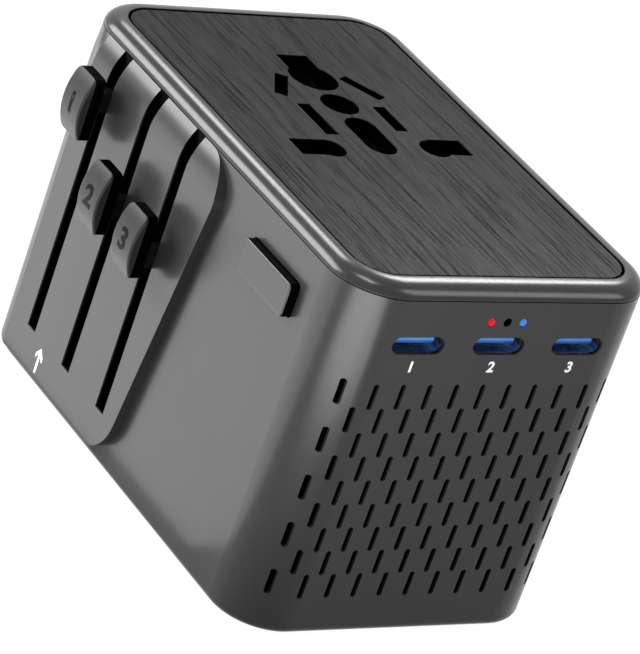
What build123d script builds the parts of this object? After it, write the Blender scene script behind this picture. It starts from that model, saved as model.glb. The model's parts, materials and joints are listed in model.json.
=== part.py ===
from build123d import *
import os
from math import sqrt

os.makedirs("parts", exist_ok=True)

# Sizes in millimetres. X is the width with the sliders at the left, Y runs back from the
# grille, Z runs up from the pin face to the socket face. The origin is the centre of the pin face.

# Case
case_width = 51.3
case_depth = 80.6
case_corner = 8.6
wall = 2.0
seam_height = 53.4
foot_round = 1.2
running_gap = 0.25
fit_gap = 0.1
overrun = 1.0

# Slider pad, raised on the left wall and wrapped round the back corner
pad_proud = 1.55
pad_bottom = 1.7
pad_rise = 5.3
pad_edge_round = 0.9
pad_front_top = -6.9
pad_front_bottom = 0.3
pad_top_round = 6.0
pad_bottom_round = 7.5

# Slots and sliders, in the order European, British, American
slot_width = 2.35
slot_pitch = 11.0
first_slot_y = 25.7
slot_foot = 8.2
slot_end_gap = 0.15
stem_height = 3.2
stem_heights = {"eu": 46.1, "uk": 35.2, "us": 33.8}
knob_heights = {"eu": 45.5, "uk": 36.6, "us": 36.2}
notch_heights = {"eu": 50.4, "uk": 39.3, "us": 37.9}
travels = {"eu": 35.0, "uk": 21.4, "us": 20.0}

# Knobs
knob_width = 5.3
knob_height = 9.9
knob_standoff = 2.5
knob_end_thickness = 1.7
knob_crown = 1.3
knob_corner = 0.9
knob_edge = 0.35
knob_socket_depth = 0.9

# Grille: staggered upright slots that run on to both front corners
grille_pitch = 4.4
grille_rows = 9
grille_flat_columns = 9
grille_top = 38.5
grille_slot_width = 0.84
grille_slot_length = 3.96
grille_slot_end = 0.26
grille_corner_x = 22.0
grille_corner_depth = 4.6

# Receptacle openings and indicators in the front wall
port_pitch = 13.3
port_height = 46.55
port_cut_width = 8.5
port_cut_height = 2.75
port_lip = 0.6
shell_width = 8.94
shell_height = 3.16
shell_wall = 0.3
shell_depth = 7.3
tongue_width = 6.7
tongue_thickness = 0.7
tongue_setback = 0.8
light_height = 50.3
light_pitch = 2.64
light_radius = 0.55

# Mode button
button_inset = 18.7
button_height = 45.65
button_length = 12.8
button_rise = 5.1
button_proud = 1.5
button_corner = 0.6
button_edge = 0.25
button_gap = 0.15
button_flange = 0.8
button_flange_thickness = 1.0
button_travel = 1.0

# Bezel, deck and panel
bezel_height = 2.5
bezel_round = 2.35
rim_chamfer = 0.25
seam_groove = 0.16
panel_side_margin = 3.45
panel_end_margin = 3.75
panel_corner = 4.9
panel_drop = 0.6
panel_thickness = 0.8
panel_gap = 0.45
deck_thickness = 1.6
skirt_depth = 2.0
skirt_wall = 1.2

# Universal socket pattern; places are from its own centre line
socket_x = 0.66
earth_hole_radius = 3.83
earth_hole_y = 18.06
earth_slot_width = 5.4
earth_slot_end = 24.7
round_hole_radius = 2.95
round_hole_y = 10.3
slant_length = 7.0
slant_width = 2.0
slant_angle = 30
slant_x = 7.0
slant_y = 15.5
flat_slot_width = 2.2
flat_slot_x = 6.5
flat_slot_end = 10.0
long_flat_slot = 8.75
short_flat_slot = 7.0
centre_slot_width = 5.0
centre_slot_length = 10.5
centre_slot_y = 1.26
side_hole_radius = 2.4
side_hole_x = 9.25
left_hole_y = -2.7
right_hole_y = -1.8
side_slot_height = 4.3
side_slot_end = 15.0
left_slot_shift = 0.2
right_slot_shift = 0.5

# Socket block and contacts
block_height = 13.4
block_margin = 1.2
contact_sheet = 0.5
contact_length = 9.0
stake_radius = 1.2
stake_spread = 11.5
stake_y = 13.5

# Pin face plate and its screws
plate_thickness = 2.4
plate_gap = 0.15
post_radius = 2.8
post_offset = 2.9
screw_radius = 0.95
screw_length = 8.0
screw_head_radius = 1.9
screw_head_height = 1.3
screw_recess = 1.5

# Carriages and pins
guide_width = 6.0
guide_height = 8.0
guide_thickness = 2.6
guide_gap = 0.2
rail_thickness = 1.6
rail_height = 47.6
rail_rib = 2.25
neck_width = 3.4
neck_length = 1.2
beam_height = 4.4
holder_clearance = 0.8
eu_pin_radius = 2.4
eu_pin_spacing = 19.0
eu_pin_y = 29.6
eu_pin_length = 19.0
eu_pin_tip = 1.1
eu_boss_radius = 3.2
uk_pin_spacing = 22.2
uk_pin_width = 6.35
uk_pin_thickness = 4.0
uk_pin_length = 17.7
uk_earth_reach = 22.2
uk_earth_width = 4.0
uk_earth_depth = 8.0
uk_earth_length = 20.6
uk_holder_wall = 1.0
uk_beam_depth = 5.0
uk_tongue_width = 5.2
pin_root = 4.0
pin_chamfer = 0.8
us_blade_spacing = 12.7
us_blade_width = 6.35
us_blade_thickness = 1.5
us_blade_length = 15.9
us_blade_y = -18.5
us_beam_depth = 4.4
us_leg_width = 4.3
us_leg_offset = 2.15
swivel_radius = 3.4
swivel_gap = 0.05
swivel_flange_radius = 4.5
swivel_flange_height = 0.9
swivel_ring_wall = 1.75
swivel_ring_height = 7.0
swivel_face_gap = 0.3
us_bridge_depth = 6.0

# Boards, with their parts
board_thickness = 1.6
thin_board = 1.2
port_board_width = 33.6
port_board_ear_width = 41.0
port_board_ear_depth = 5.5
port_board_ear_setback = 1.0
port_board_depth = 13.9
light_board_width = 12.0
light_board_height = 6.6
switch_board_length = 20.8
switch_board_height = 8.3
switch_board_shift = 0.8
switch_peg_radius = 0.8
switch_peg_spread = 17.8
switch_size = 4.5
switch_plunger_radius = 1.1
switch_plunger_gap = 0.15
switch_body = 1.4
main_board_x = 21.5
main_board_inset = 10.3
main_board_back_inset = 9.3
main_board_height = 46.0
filter_board_inset = 12.3
filter_board_length = 25.0
filter_board_height = 36.0
part_gap = 0.3
capacitor_radius = 4.2
capacitor_height = 22.0
capacitor_base = 5.0
capacitor_groove = 0.35
capacitor_inset = 31.8
capacitor_pitch = 9.7
sink_width = 8.3
sink_length = 13.0
sink_base = 6.0
sink_height = 28.0
sink_fins = 5
sink_fin = 1.1
sink_back = 1.6
sink_inset = 13.3
transistor_width = 5.2
transistor_thickness = 2.4
transistor_height = 8.0
transistor_pitch = 12.0
relay_width = 5.3
relay_length = 18.0
relay_height = 16.0
relay_inset = 52.3
relay_base = 18.0
fuse_radius = 2.5
fuse_length = 20.0
fuse_inset = 50.8
fuse_height = 9.0
fuse_cap = 4.0
fuse_cap_wall = 0.15
clip_wall = 0.7
clip_length = 3.0
core_depth = 10.5
core_height = 26.0
core_width = 11.0
core_leg = 3.0
core_inset = 26.3
core_base = 8.0
coil_wall = 0.3
choke_radius = 6.0
choke_bore = 3.0
choke_height = 7.5
choke_inset = 18.8
choke_z = 20.0

# Fan
fan_size = 32.0
fan_depth = 7.0
fan_corner = 3.0
fan_centre_z = 23.0
fan_bore = 14.8
fan_hub = 5.6
fan_cup_gap = 0.3
fan_strut = 1.6
fan_strut_depth = 1.4
rotor_radius = 14.2
rotor_hub = 5.4
rotor_wall = 0.8
blade_count = 7
blade_chord = 6.4
blade_thickness = 0.7
blade_angle = 42
spindle_radius = 0.75
spindle_gap = 0.05

# Places worked out from the sizes above
left = -case_width / 2
front = -case_depth / 2
post_x = -left - case_corner + post_offset
post_y = -front - case_corner + post_offset
inner_left = left + wall
button_y = front + button_inset
switch_board_y = button_y + switch_board_shift
main_board_front = front + main_board_inset
main_board_length = case_depth - main_board_inset - main_board_back_inset
filter_board_front = front + filter_board_inset
capacitor_y = front + capacitor_inset
sink_front = front + sink_inset
relay_front = front + relay_inset
fuse_front = front + fuse_inset
core_front = front + core_inset
choke_y = front + choke_inset
inner_front = front + wall
pad_face = left - pad_proud
rim_height = seam_height + bezel_height
panel_height = rim_height - panel_drop
panel_width = case_width - 2 * panel_side_margin
panel_depth = case_depth - 2 * panel_end_margin
deck_top = panel_height - panel_thickness
deck_bottom = deck_top - deck_thickness
skirt_bottom = seam_height - skirt_depth
block_bottom = deck_bottom - block_height
slot_y = {"eu": first_slot_y, "uk": first_slot_y - slot_pitch, "us": first_slot_y - 2 * slot_pitch}
slot_ends = {k: stem_heights[k] - stem_height / 2 - travels[k] - slot_end_gap for k in slot_y}
guide_left = inner_left + guide_gap
guide_right = guide_left + guide_thickness
rail_left = guide_right + guide_gap
rail_right = rail_left + rail_thickness
neck_right = rail_right + neck_length
port_xs = (-port_pitch, 0, port_pitch)
port_board_top = port_height - shell_height / 2
port_board_bottom = port_board_top - thin_board
fan_front = inner_front + part_gap
fan_back = fan_front + fan_depth
row_pitch = grille_pitch * sqrt(3) / 2
rear_post_top = stem_heights["eu"] - travels["eu"] - beam_height / 2 - part_gap
holder_foot = {k: plate_thickness + holder_clearance + travels[k] for k in slot_y}


def span(centre, size):
    """The two ends of a size about its centre."""
    return (centre - size / 2, centre + size / 2)


def block(x, y, z):
    """A box between pairs of ends."""
    corner = Pos(x[0], y[0], z[0])
    return corner * Box(x[1] - x[0], y[1] - y[0], z[1] - z[0], align=(Align.MIN,) * 3)


def post(x, y, z, radius):
    """An upright round bar between two heights."""
    return Pos(x, y, z[0]) * Cylinder(radius, z[1] - z[0], align=(Align.CENTER, Align.CENTER, Align.MIN))


def bar_x(y, z, x, radius):
    """A round bar along X."""
    return Plane((x[0], y, z), x_dir=(0, 1, 0), z_dir=(1, 0, 0)) * Cylinder(
        radius, x[1] - x[0], align=(Align.CENTER, Align.CENTER, Align.MIN))


def bar_y(x, z, y, radius):
    """A round bar along Y."""
    return Plane((x, y[0], z), x_dir=(1, 0, 0), z_dir=(0, 1, 0)) * Cylinder(
        radius, y[1] - y[0], align=(Align.CENTER, Align.CENTER, Align.MIN))


def prism(sketch, z):
    """A flat outline raised between two heights."""
    return Pos(0, 0, z[0]) * extrude(sketch, z[1] - z[0])


def patch(x, y):
    """A rectangle in plan between pairs of ends."""
    return Pos(sum(x) / 2, sum(y) / 2) * Rectangle(x[1] - x[0], y[1] - y[0])


def slider_pad():
    """The raised pad: its section runs along the wall and turns round the back corner."""
    inner = case_corner - wall / 2
    outer = case_corner + pad_proud
    shoulder = seam_height - pad_rise
    bulge = (pad_proud ** 2 + pad_rise ** 2) / (2 * pad_proud)
    rise = pad_rise / 2
    mid = outer - bulge + sqrt(bulge ** 2 - rise ** 2)
    sketch = make_face([
        Polyline((inner, pad_bottom), (outer - pad_edge_round, pad_bottom)),
        RadiusArc((outer - pad_edge_round, pad_bottom), (outer, pad_bottom + pad_edge_round), -pad_edge_round),
        Line((outer, pad_bottom + pad_edge_round), (outer, shoulder)),
        ThreePointArc((outer, shoulder), (mid, shoulder + rise), (case_corner, seam_height)),
        Polyline((case_corner, seam_height), (inner, seam_height), (inner, pad_bottom)),
    ])
    axis_x = left + case_corner
    axis_y = -front - case_corner
    upright = Plane((axis_x, axis_y, 0), x_dir=(-1, 0, 0), z_dir=(0, 1, 0))
    straight = extrude(upright * sketch, -(axis_y - pad_front_top + overrun))
    turn = revolve(upright * sketch, Axis((axis_x, axis_y, 0), (0, 0, 1)), -90)
    outline = Polygon((pad_front_top, seam_height), (pad_front_bottom, pad_bottom),
                      (-front, pad_bottom), (-front, seam_height), align=None)
    corners = outline.vertices().sort_by(Axis.X)
    outline = fillet(corners[0], pad_top_round)
    outline = fillet(outline.vertices().group_by(Axis.Y)[0].sort_by(Axis.X)[0], pad_bottom_round)
    keep = extrude(Plane.YZ * outline, -case_width)
    return (straight + turn) & keep


def slider_slots():
    """Through slots for the stems, with the shallow grooves that carry them on to the seam."""
    cuts = []
    for key, y in slot_y.items():
        across = span(y, slot_width)
        outside = pad_face - overrun
        cuts.append(block((outside, inner_left + overrun), across, (slot_ends[key], notch_heights[key])))
        cuts.append(block((outside, left), across, (slot_foot, seam_height + overrun)))
    return cuts


def grille():
    """Staggered slots in the flat of the front wall and on both corners."""
    slot = chamfer(Rectangle(grille_slot_width, grille_slot_length).vertices(), grille_slot_end)
    flat = Plane((0, front - overrun, 0), x_dir=(1, 0, 0), z_dir=(0, -1, 0))
    places = []
    corner_places = []
    half = (grille_flat_columns - 1) * grille_pitch / 2
    for row in range(grille_rows):
        z = grille_top - row * row_pitch
        shift = (row % 2) * grille_pitch / 2
        for column in range(grille_flat_columns - row % 2):
            places.append((-half + shift + column * grille_pitch, z))
        edge = half + grille_pitch / 2 if row % 2 else grille_corner_x
        corner_places += [(-edge, z), (edge, z)]
    thin = [extrude(flat * Pos(x, z) * slot, -(wall + 2 * overrun)) for x, z in places]
    deep = [extrude(flat * Pos(x, z) * slot, -(grille_corner_depth + overrun)) for x, z in corner_places]
    return thin + deep


def main_case():
    """The moulded shell, with everything that passes through its walls."""
    plan = RectangleRounded(case_width, case_depth, case_corner)
    shell = extrude(plan, seam_height)
    shell = fillet(shell.edges().group_by(Axis.Z)[0], foot_round)
    shell += slider_pad()
    cavity_plan = RectangleRounded(case_width - 2 * wall, case_depth - 2 * wall, case_corner - wall)
    shell -= Pos(0, 0, -overrun) * extrude(cavity_plan, seam_height + 2 * overrun)
    for sx in (-1, 1):
        shell += post(sx * post_x, -post_y, (plate_thickness, port_board_bottom), post_radius)
        shell += post(sx * post_x, post_y, (plate_thickness, rear_post_top), post_radius)
        for sy in (-1, 1):
            depth = plate_thickness + screw_length
            shell -= post(sx * post_x, sy * post_y, (0, depth), screw_radius + running_gap / 2)
    cuts = grille() + slider_slots()
    front_face = Plane((0, front, 0), x_dir=(1, 0, 0), z_dir=(0, -1, 0))
    port = SlotOverall(port_cut_width, port_cut_height)
    pocket_width = shell_width + 2 * fit_gap
    pocket_height = shell_height + 2 * fit_gap
    for x in port_xs:
        cuts.append(extrude(front_face * Pos(x, port_height) * port, wall, both=True))
        cuts.append(block(span(x, pocket_width), (front + port_lip, inner_front + overrun),
                          span(port_height, pocket_height)))
    for step in (-1, 0, 1):
        cuts.append(bar_y(step * light_pitch, light_height, (front - overrun, inner_front + overrun),
                          light_radius + fit_gap))
    opening = RectangleRounded(button_length + 2 * button_gap, button_rise + 2 * button_gap,
                               button_corner + button_gap)
    side = Plane((left, button_y, button_height), x_dir=(0, 1, 0), z_dir=(1, 0, 0))
    cuts.append(extrude(side * opening, wall + overrun, both=True))
    shell -= cuts
    for end in (-1, 1):
        peg_y = switch_board_y + end * switch_peg_spread / 2
        shell += bar_x(peg_y, button_height, (inner_left, switch_board_left()), switch_peg_radius)
    return shell


def switch_board_left():
    """Face of the switch board, set back from the button by the switch."""
    flange_back = inner_left + guide_gap + button_flange_thickness
    return flange_back + button_travel + switch_plunger_gap + switch_body + plunger_reach()


def plunger_reach():
    """How far the switch plunger stands out of its body."""
    return button_travel / 2


def socket_outline(grow=0):
    """Every hole of the universal socket, grown all round by one amount."""
    return (earth_outline(grow) + round_outline(grow) + centre_outline(grow)
            + slant_outline(-1) + slant_outline(1) + line_outline(grow) + neutral_outline(grow))


def earth_outline(grow=0):
    hole = Pos(socket_x, earth_hole_y) * Circle(earth_hole_radius + grow)
    ends = (earth_hole_y, earth_slot_end + grow)
    return hole + patch(span(socket_x, earth_slot_width + 2 * grow), ends)


def round_outline(grow=0):
    return Pos(socket_x, round_hole_y) * Circle(round_hole_radius + grow)


def centre_outline(grow=0):
    slot = SlotOverall(centre_slot_length + 2 * grow, centre_slot_width + 2 * grow, rotation=90)
    return Pos(socket_x, centre_slot_y) * slot


def slant_outline(side):
    turned = Rectangle(slant_width, slant_length, rotation=side * slant_angle)
    return Pos(socket_x + side * slant_x, slant_y) * turned


def side_outline(side, y, shift, grow):
    hole = Pos(socket_x + side * side_hole_x, y) * Circle(side_hole_radius + grow)
    ends = sorted((socket_x + side * side_hole_x, socket_x + side * (side_slot_end + grow)))
    return hole + patch(ends, span(y + shift, side_slot_height + 2 * grow))


def flat_outline(side, length, grow):
    ends = (flat_slot_end - length - grow, flat_slot_end + grow)
    return patch(span(socket_x + side * flat_slot_x, flat_slot_width + 2 * grow), ends)


def line_outline(grow=0):
    return side_outline(-1, left_hole_y, left_slot_shift, grow) + flat_outline(-1, long_flat_slot, grow)


def neutral_outline(grow=0):
    return side_outline(1, right_hole_y, right_slot_shift, grow) + flat_outline(1, short_flat_slot, grow)


def stake_places():
    return [(socket_x - stake_spread, stake_y), (socket_x + stake_spread, stake_y)]


def top_bezel():
    """Rim with a round shoulder, and the deck, skirt and stakes below it."""
    height = rim_height - seam_height
    ring = Pos(0, 0, seam_height) * extrude(RectangleRounded(case_width, case_depth, case_corner), height)
    ring = fillet(ring.edges().group_by(Axis.Z)[-1], bezel_round)
    inset_plan = RectangleRounded(case_width - 2 * seam_groove, case_depth - 2 * seam_groove,
                                  case_corner - seam_groove)
    outer_plan = RectangleRounded(case_width + 2 * seam_groove, case_depth + 2 * seam_groove,
                                  case_corner + seam_groove)
    ring -= prism(outer_plan - inset_plan, (seam_height, seam_height + seam_groove))
    skirt_width = case_width - 2 * (wall + plate_gap)
    skirt_length = case_depth - 2 * (wall + plate_gap)
    skirt_corner = case_corner - wall - plate_gap
    ring += prism(RectangleRounded(skirt_width, skirt_length, skirt_corner), (skirt_bottom, seam_height))
    hollow = RectangleRounded(skirt_width - 2 * skirt_wall, skirt_length - 2 * skirt_wall,
                              skirt_corner - skirt_wall)
    ring -= prism(hollow, (skirt_bottom - overrun, deck_bottom))
    recess = RectangleRounded(panel_width + 2 * panel_gap, panel_depth + 2 * panel_gap,
                              panel_corner + panel_gap)
    ring -= prism(recess, (deck_top, rim_height + overrun))
    reach = panel_width / 2 + panel_gap + fit_gap
    length = panel_depth / 2 + panel_gap + fit_gap
    rim = ring.edges().group_by(Axis.Z)[-1]
    ring = chamfer([e for e in rim if abs(e.center().X) < reach and abs(e.center().Y) < length], rim_chamfer)
    ring -= prism(socket_outline(), (deck_bottom - overrun, rim_height))
    for x, y in stake_places():
        ring += post(x, y, (block_bottom - fit_gap, deck_bottom), stake_radius)
    return ring


def socket_panel():
    """Thin brushed plate with the same holes as the deck."""
    plate = prism(RectangleRounded(panel_width, panel_depth, panel_corner), (deck_top, panel_height))
    return plate - prism(socket_outline(), (deck_top - overrun, panel_height + overrun))


def contact_pockets(grow):
    """Plan of the pockets that hold the sleeves: line, neutral, and the two earth ones."""
    tail = patch(span(socket_x, earth_slot_width + 2 * grow),
                 (earth_slot_end - earth_slot_width / 2, earth_slot_end + grow))
    return line_outline(grow), neutral_outline(grow), round_outline(grow) + centre_outline(grow), tail


def socket_block():
    """Insulating block under the deck, open below for the contact sleeves."""
    x = (socket_x - side_slot_end - block_margin - contact_sheet, socket_x + side_slot_end
         + block_margin + contact_sheet)
    y = (left_hole_y - side_hole_radius - block_margin - contact_sheet, earth_slot_end + block_margin)
    body = block(x, y, (block_bottom, deck_bottom))
    body -= prism(socket_outline(), (block_bottom - overrun, deck_bottom + overrun))
    for plan in contact_pockets(contact_sheet + fit_gap):
        body -= prism(plan, (block_bottom - overrun, block_bottom + contact_length))
    for sx, sy in stake_places():
        body -= post(sx, sy, (block_bottom - overrun, deck_bottom), stake_radius + fit_gap)
    return body


def sleeve(outline, core):
    """Thin wall about a hole, standing in its pocket."""
    height = (block_bottom, block_bottom + contact_length - fit_gap)
    return prism(outline, height) - prism(core, (height[0] - overrun, height[1] + overrun))


def contacts():
    plans = contact_pockets(contact_sheet)
    holes = socket_outline()
    line, neutral, middle, tail = [sleeve(plan, holes) for plan in plans]
    return line, neutral, middle + tail


def guide_frame():
    """Upright ribs and a slotted rail that hold the three guide shoes against the left wall."""
    outer = guide_width / 2 + guide_gap + rail_rib
    y = (slot_y["us"] - outer, slot_y["eu"] + outer)
    z = (plate_thickness, plate_thickness + rail_height)
    frame = block((inner_left + fit_gap, rail_right), y, z)
    for key, centre in slot_y.items():
        frame -= block((inner_left - overrun, rail_left), span(centre, guide_width + 2 * guide_gap),
                       (z[0] - overrun, z[1] + overrun))
        reach = stem_heights[key] - beam_height / 2 - travels[key] - running_gap
        frame -= block((inner_left, rail_right + overrun), span(centre, neck_width + 2 * running_gap),
                       (reach, z[1] + overrun))
    return frame


def carriage_root(key):
    """Stem, guide shoe and neck that every carriage has."""
    y, z = slot_y[key], stem_heights[key]
    stem_end = pad_face - knob_standoff - knob_socket_depth + fit_gap
    stem = block((stem_end, guide_left), span(y, slot_width - 2 * running_gap), span(z, stem_height))
    shoe = block((guide_left, guide_right), span(y, guide_width), span(z, guide_height))
    neck = block((guide_right, neck_right), span(y, neck_width), span(z, beam_height))
    return stem + shoe + neck


def eu_carriage():
    z = span(stem_heights["eu"], beam_height)
    right = eu_pin_spacing / 2 + eu_boss_radius
    back = (eu_pin_y - eu_boss_radius + fit_gap, eu_pin_y + eu_boss_radius - fit_gap)
    body = carriage_root("eu") + block((neck_right, right), back, z)
    body += block((rail_right + running_gap, neck_right), (slot_y["eu"] - neck_width / 2, back[1]), z)
    for sx in (-1, 1):
        x = sx * eu_pin_spacing / 2
        body += post(x, eu_pin_y, (holder_foot["eu"], z[1]), eu_boss_radius)
        body -= post(x, eu_pin_y, (holder_foot["eu"] - overrun, holder_foot["eu"] + pin_root), eu_pin_radius)
    return body


def eu_pins():
    """Two round pins; at full travel they reach their length below the pin face."""
    tip = travels["eu"] - eu_pin_length
    pins = []
    for sx in (-1, 1):
        pin = post(sx * eu_pin_spacing / 2, eu_pin_y, (tip, holder_foot["eu"] + pin_root), eu_pin_radius)
        pins.append(chamfer(pin.edges().sort_by(Axis.Z)[0], eu_pin_tip))
    return pins


def uk_carriage():
    z = span(stem_heights["uk"], beam_height)
    y = slot_y["uk"]
    beam_y = span(y, uk_beam_depth)
    end = uk_pin_spacing / 2 + uk_pin_width / 2 + uk_holder_wall
    body = carriage_root("uk") + block((neck_right, end), beam_y, z)
    earth_y = y - uk_earth_reach
    earth_half = uk_earth_depth / 2 + holder_clearance
    body += block(span(0, uk_tongue_width), (earth_y - earth_half, y), z)
    body += block(span(0, uk_earth_width + 2 * holder_clearance), span(earth_y, 2 * earth_half),
                  (holder_foot["uk"], z[1]))
    body -= block(span(0, uk_earth_width), span(earth_y, uk_earth_depth),
                  (holder_foot["uk"] - overrun, holder_foot["uk"] + pin_root))
    for sx in (-1, 1):
        x = sx * uk_pin_spacing / 2
        body += block(span(x, uk_pin_width + 2 * uk_holder_wall), beam_y, (holder_foot["uk"], z[1]))
        body -= block(span(x, uk_pin_width), span(y, uk_pin_thickness),
                      (holder_foot["uk"] - overrun, holder_foot["uk"] + pin_root))
    return body


def flat_pin(x, y, z):
    """A rectangular pin with its tip chamfered all round."""
    pin = block(x, y, z)
    return chamfer(pin.faces().sort_by(Axis.Z)[0].edges(), pin_chamfer)


def uk_pins():
    tip = travels["uk"] - uk_pin_length
    return [flat_pin(span(sx * uk_pin_spacing / 2, uk_pin_width), span(slot_y["uk"], uk_pin_thickness),
                     (tip, holder_foot["uk"] + pin_root)) for sx in (-1, 1)]


def uk_earth_pin():
    earth_y = slot_y["uk"] - uk_earth_reach
    return flat_pin(span(0, uk_earth_width), span(earth_y, uk_earth_depth),
                    (travels["uk"] - uk_earth_length, holder_foot["uk"] + pin_root))


def us_carriage():
    """A beam, one leg past the British earth pin and a bridge that carries both swivel rings."""
    z = span(stem_heights["us"], beam_height - fit_gap)
    y = slot_y["us"]
    leg_right = -us_blade_spacing / 2 + us_leg_offset
    leg = (leg_right - us_leg_width, leg_right)
    body = carriage_root("us") + block((neck_right, leg_right), span(y, us_beam_depth), z)
    body += block(leg, (us_blade_y, y), z)
    body += block(span(0, us_blade_spacing), span(us_blade_y, us_bridge_depth), z)
    bore = swivel_radius + swivel_gap
    ring_z = (z[1] - swivel_ring_height, z[1])
    for sx in (-1, 1):
        body += post(sx * us_blade_spacing / 2, us_blade_y, ring_z, bore + swivel_ring_wall)
    for sx in (-1, 1):
        body -= post(sx * us_blade_spacing / 2, us_blade_y, (ring_z[0] - overrun, z[1] + overrun), bore)
    return body


def swivel(side):
    """Round holder that turns in its ring, with a flange on top."""
    x = side * us_blade_spacing / 2
    top = stem_heights["us"] + (beam_height - fit_gap) / 2
    foot = travels["us"] + swivel_face_gap
    body = post(x, us_blade_y, (foot, top + swivel_gap), swivel_radius)
    body += post(x, us_blade_y, (top + swivel_gap, top + swivel_gap + swivel_flange_height),
                 swivel_flange_radius)
    slot = block(span(x, us_blade_thickness), span(us_blade_y, us_blade_width),
                 (foot - overrun, foot + pin_root))
    return body - slot


def blade(side):
    foot = travels["us"] - us_blade_length
    root = travels["us"] + swivel_face_gap + pin_root
    x = side * us_blade_spacing / 2
    flat = block(span(x, us_blade_thickness), span(us_blade_y, us_blade_width), (foot, root))
    tip = flat.faces().sort_by(Axis.Z)[0].edges()
    return chamfer(tip, us_blade_thickness / 4)


def knob(key):
    """Crowned knob with a flat back that stands off the pad."""
    back = pad_face - knob_standoff
    low, high = span(knob_heights[key], knob_height)
    end = back - knob_end_thickness
    outline = make_face([
        Line((back, low), (end, low)),
        ThreePointArc((end, low), (end - knob_crown, knob_heights[key]), (end, high)),
        Polyline((end, high), (back, high), (back, low)),
    ])
    side = Plane((0, slot_y[key] + knob_width / 2, 0), x_dir=(1, 0, 0), z_dir=(0, -1, 0))
    body = extrude(side * outline, knob_width)
    body = fillet(body.edges().filter_by(Axis.X), knob_corner)
    body = fillet(body.faces().sort_by(Axis.X)[0].edges(), knob_edge)
    socket = block((back - knob_socket_depth, back + overrun),
                   span(slot_y[key], slot_width - 2 * running_gap + 2 * swivel_gap),
                   span(stem_heights[key], stem_height + 2 * swivel_gap))
    return body - socket


def mode_button():
    """Rectangular cap with a flange behind the wall."""
    side = Plane((left - button_proud, button_y, button_height), x_dir=(0, 1, 0), z_dir=(1, 0, 0))
    cap = extrude(side * RectangleRounded(button_length, button_rise, button_corner),
                  button_proud + wall + guide_gap)
    cap = fillet(cap.faces().sort_by(Axis.X)[0].edges(), button_edge)
    flange = block((inner_left + guide_gap, inner_left + guide_gap + button_flange_thickness),
                   span(button_y, button_length + 2 * button_flange),
                   span(button_height, button_rise + 2 * button_flange))
    return cap + flange


def tact_switch():
    board = switch_board_left()
    body = block((board - switch_body, board), span(button_y, switch_size), span(button_height, switch_size))
    return body + bar_x(button_y, button_height, (board - switch_body - plunger_reach(), board - switch_body),
                        switch_plunger_radius)


def switch_board():
    x = (switch_board_left(), switch_board_left() + thin_board)
    return block(x, span(switch_board_y, switch_board_length), span(button_height, switch_board_height))


def port_board():
    """Board under the receptacles; its front ears rest on the two front posts."""
    z = (port_board_bottom, port_board_top)
    start = inner_front + part_gap
    board = block(span(0, port_board_width), (start, start + port_board_depth), z)
    ear = (start + port_board_ear_setback, start + port_board_ear_depth)
    return board + block(span(0, port_board_ear_width - 2 * part_gap), ear, z)


def port_shells():
    """Steel tubes of the receptacles, closed at the back."""
    start = front + port_lip
    face = Plane((0, start, 0), x_dir=(1, 0, 0), z_dir=(0, -1, 0))
    shells = []
    for x in port_xs:
        tube = extrude(face * Pos(x, port_height) * SlotOverall(shell_width, shell_height), -shell_depth)
        bore = SlotOverall(shell_width - 2 * shell_wall, shell_height - 2 * shell_wall)
        tube -= extrude(face * Pos(x, port_height) * bore, -(shell_depth - shell_wall))
        shells.append(tube)
    return shells


def port_tongues():
    y = (front + port_lip + tongue_setback, front + port_lip + shell_depth - shell_wall)
    return [block(span(x, tongue_width), y, span(port_height, tongue_thickness)) for x in port_xs]


def light_board():
    start = front + port_lip + shell_depth + part_gap
    return block(span(0, light_board_width), (start, start + thin_board),
                 (port_board_top, port_board_top + light_board_height))


def light_pipe(step):
    """Clear rod from the indicator board to the front wall."""
    end = front + port_lip + shell_depth + part_gap
    return bar_y(step * light_pitch, light_height, (front, end), light_radius)


def pin_face_plate():
    """Bottom plate with the openings for every pin and the screw recesses."""
    plan = RectangleRounded(case_width - 2 * (wall + plate_gap), case_depth - 2 * (wall + plate_gap),
                            case_corner - wall - plate_gap)
    plate = extrude(plan, plate_thickness)
    through = (-overrun, plate_thickness + overrun)
    clear = running_gap + fit_gap
    for sx in (-1, 1):
        plate -= post(sx * eu_pin_spacing / 2, eu_pin_y, through, eu_pin_radius + clear)
        plate -= block(span(sx * uk_pin_spacing / 2, uk_pin_width + 2 * clear),
                       span(slot_y["uk"], uk_pin_thickness + 2 * clear), through)
        plate -= post(sx * us_blade_spacing / 2, us_blade_y, through, swivel_radius + running_gap)
        for sy in (-1, 1):
            plate -= post(sx * post_x, sy * post_y, through, screw_radius + running_gap / 2)
            plate -= post(sx * post_x, sy * post_y, (-overrun, screw_recess), screw_head_radius + running_gap)
    plate -= block(span(0, uk_earth_width + 2 * clear),
                   span(slot_y["uk"] - uk_earth_reach, uk_earth_depth + 2 * clear), through)
    return plate


def plate_screws():
    screws = []
    for sx in (-1, 1):
        for sy in (-1, 1):
            x, y = sx * post_x, sy * post_y
            head = post(x, y, (screw_recess - screw_head_height, screw_recess), screw_head_radius)
            screws.append(head + post(x, y, (screw_recess, screw_length), screw_radius))
    return screws


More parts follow.
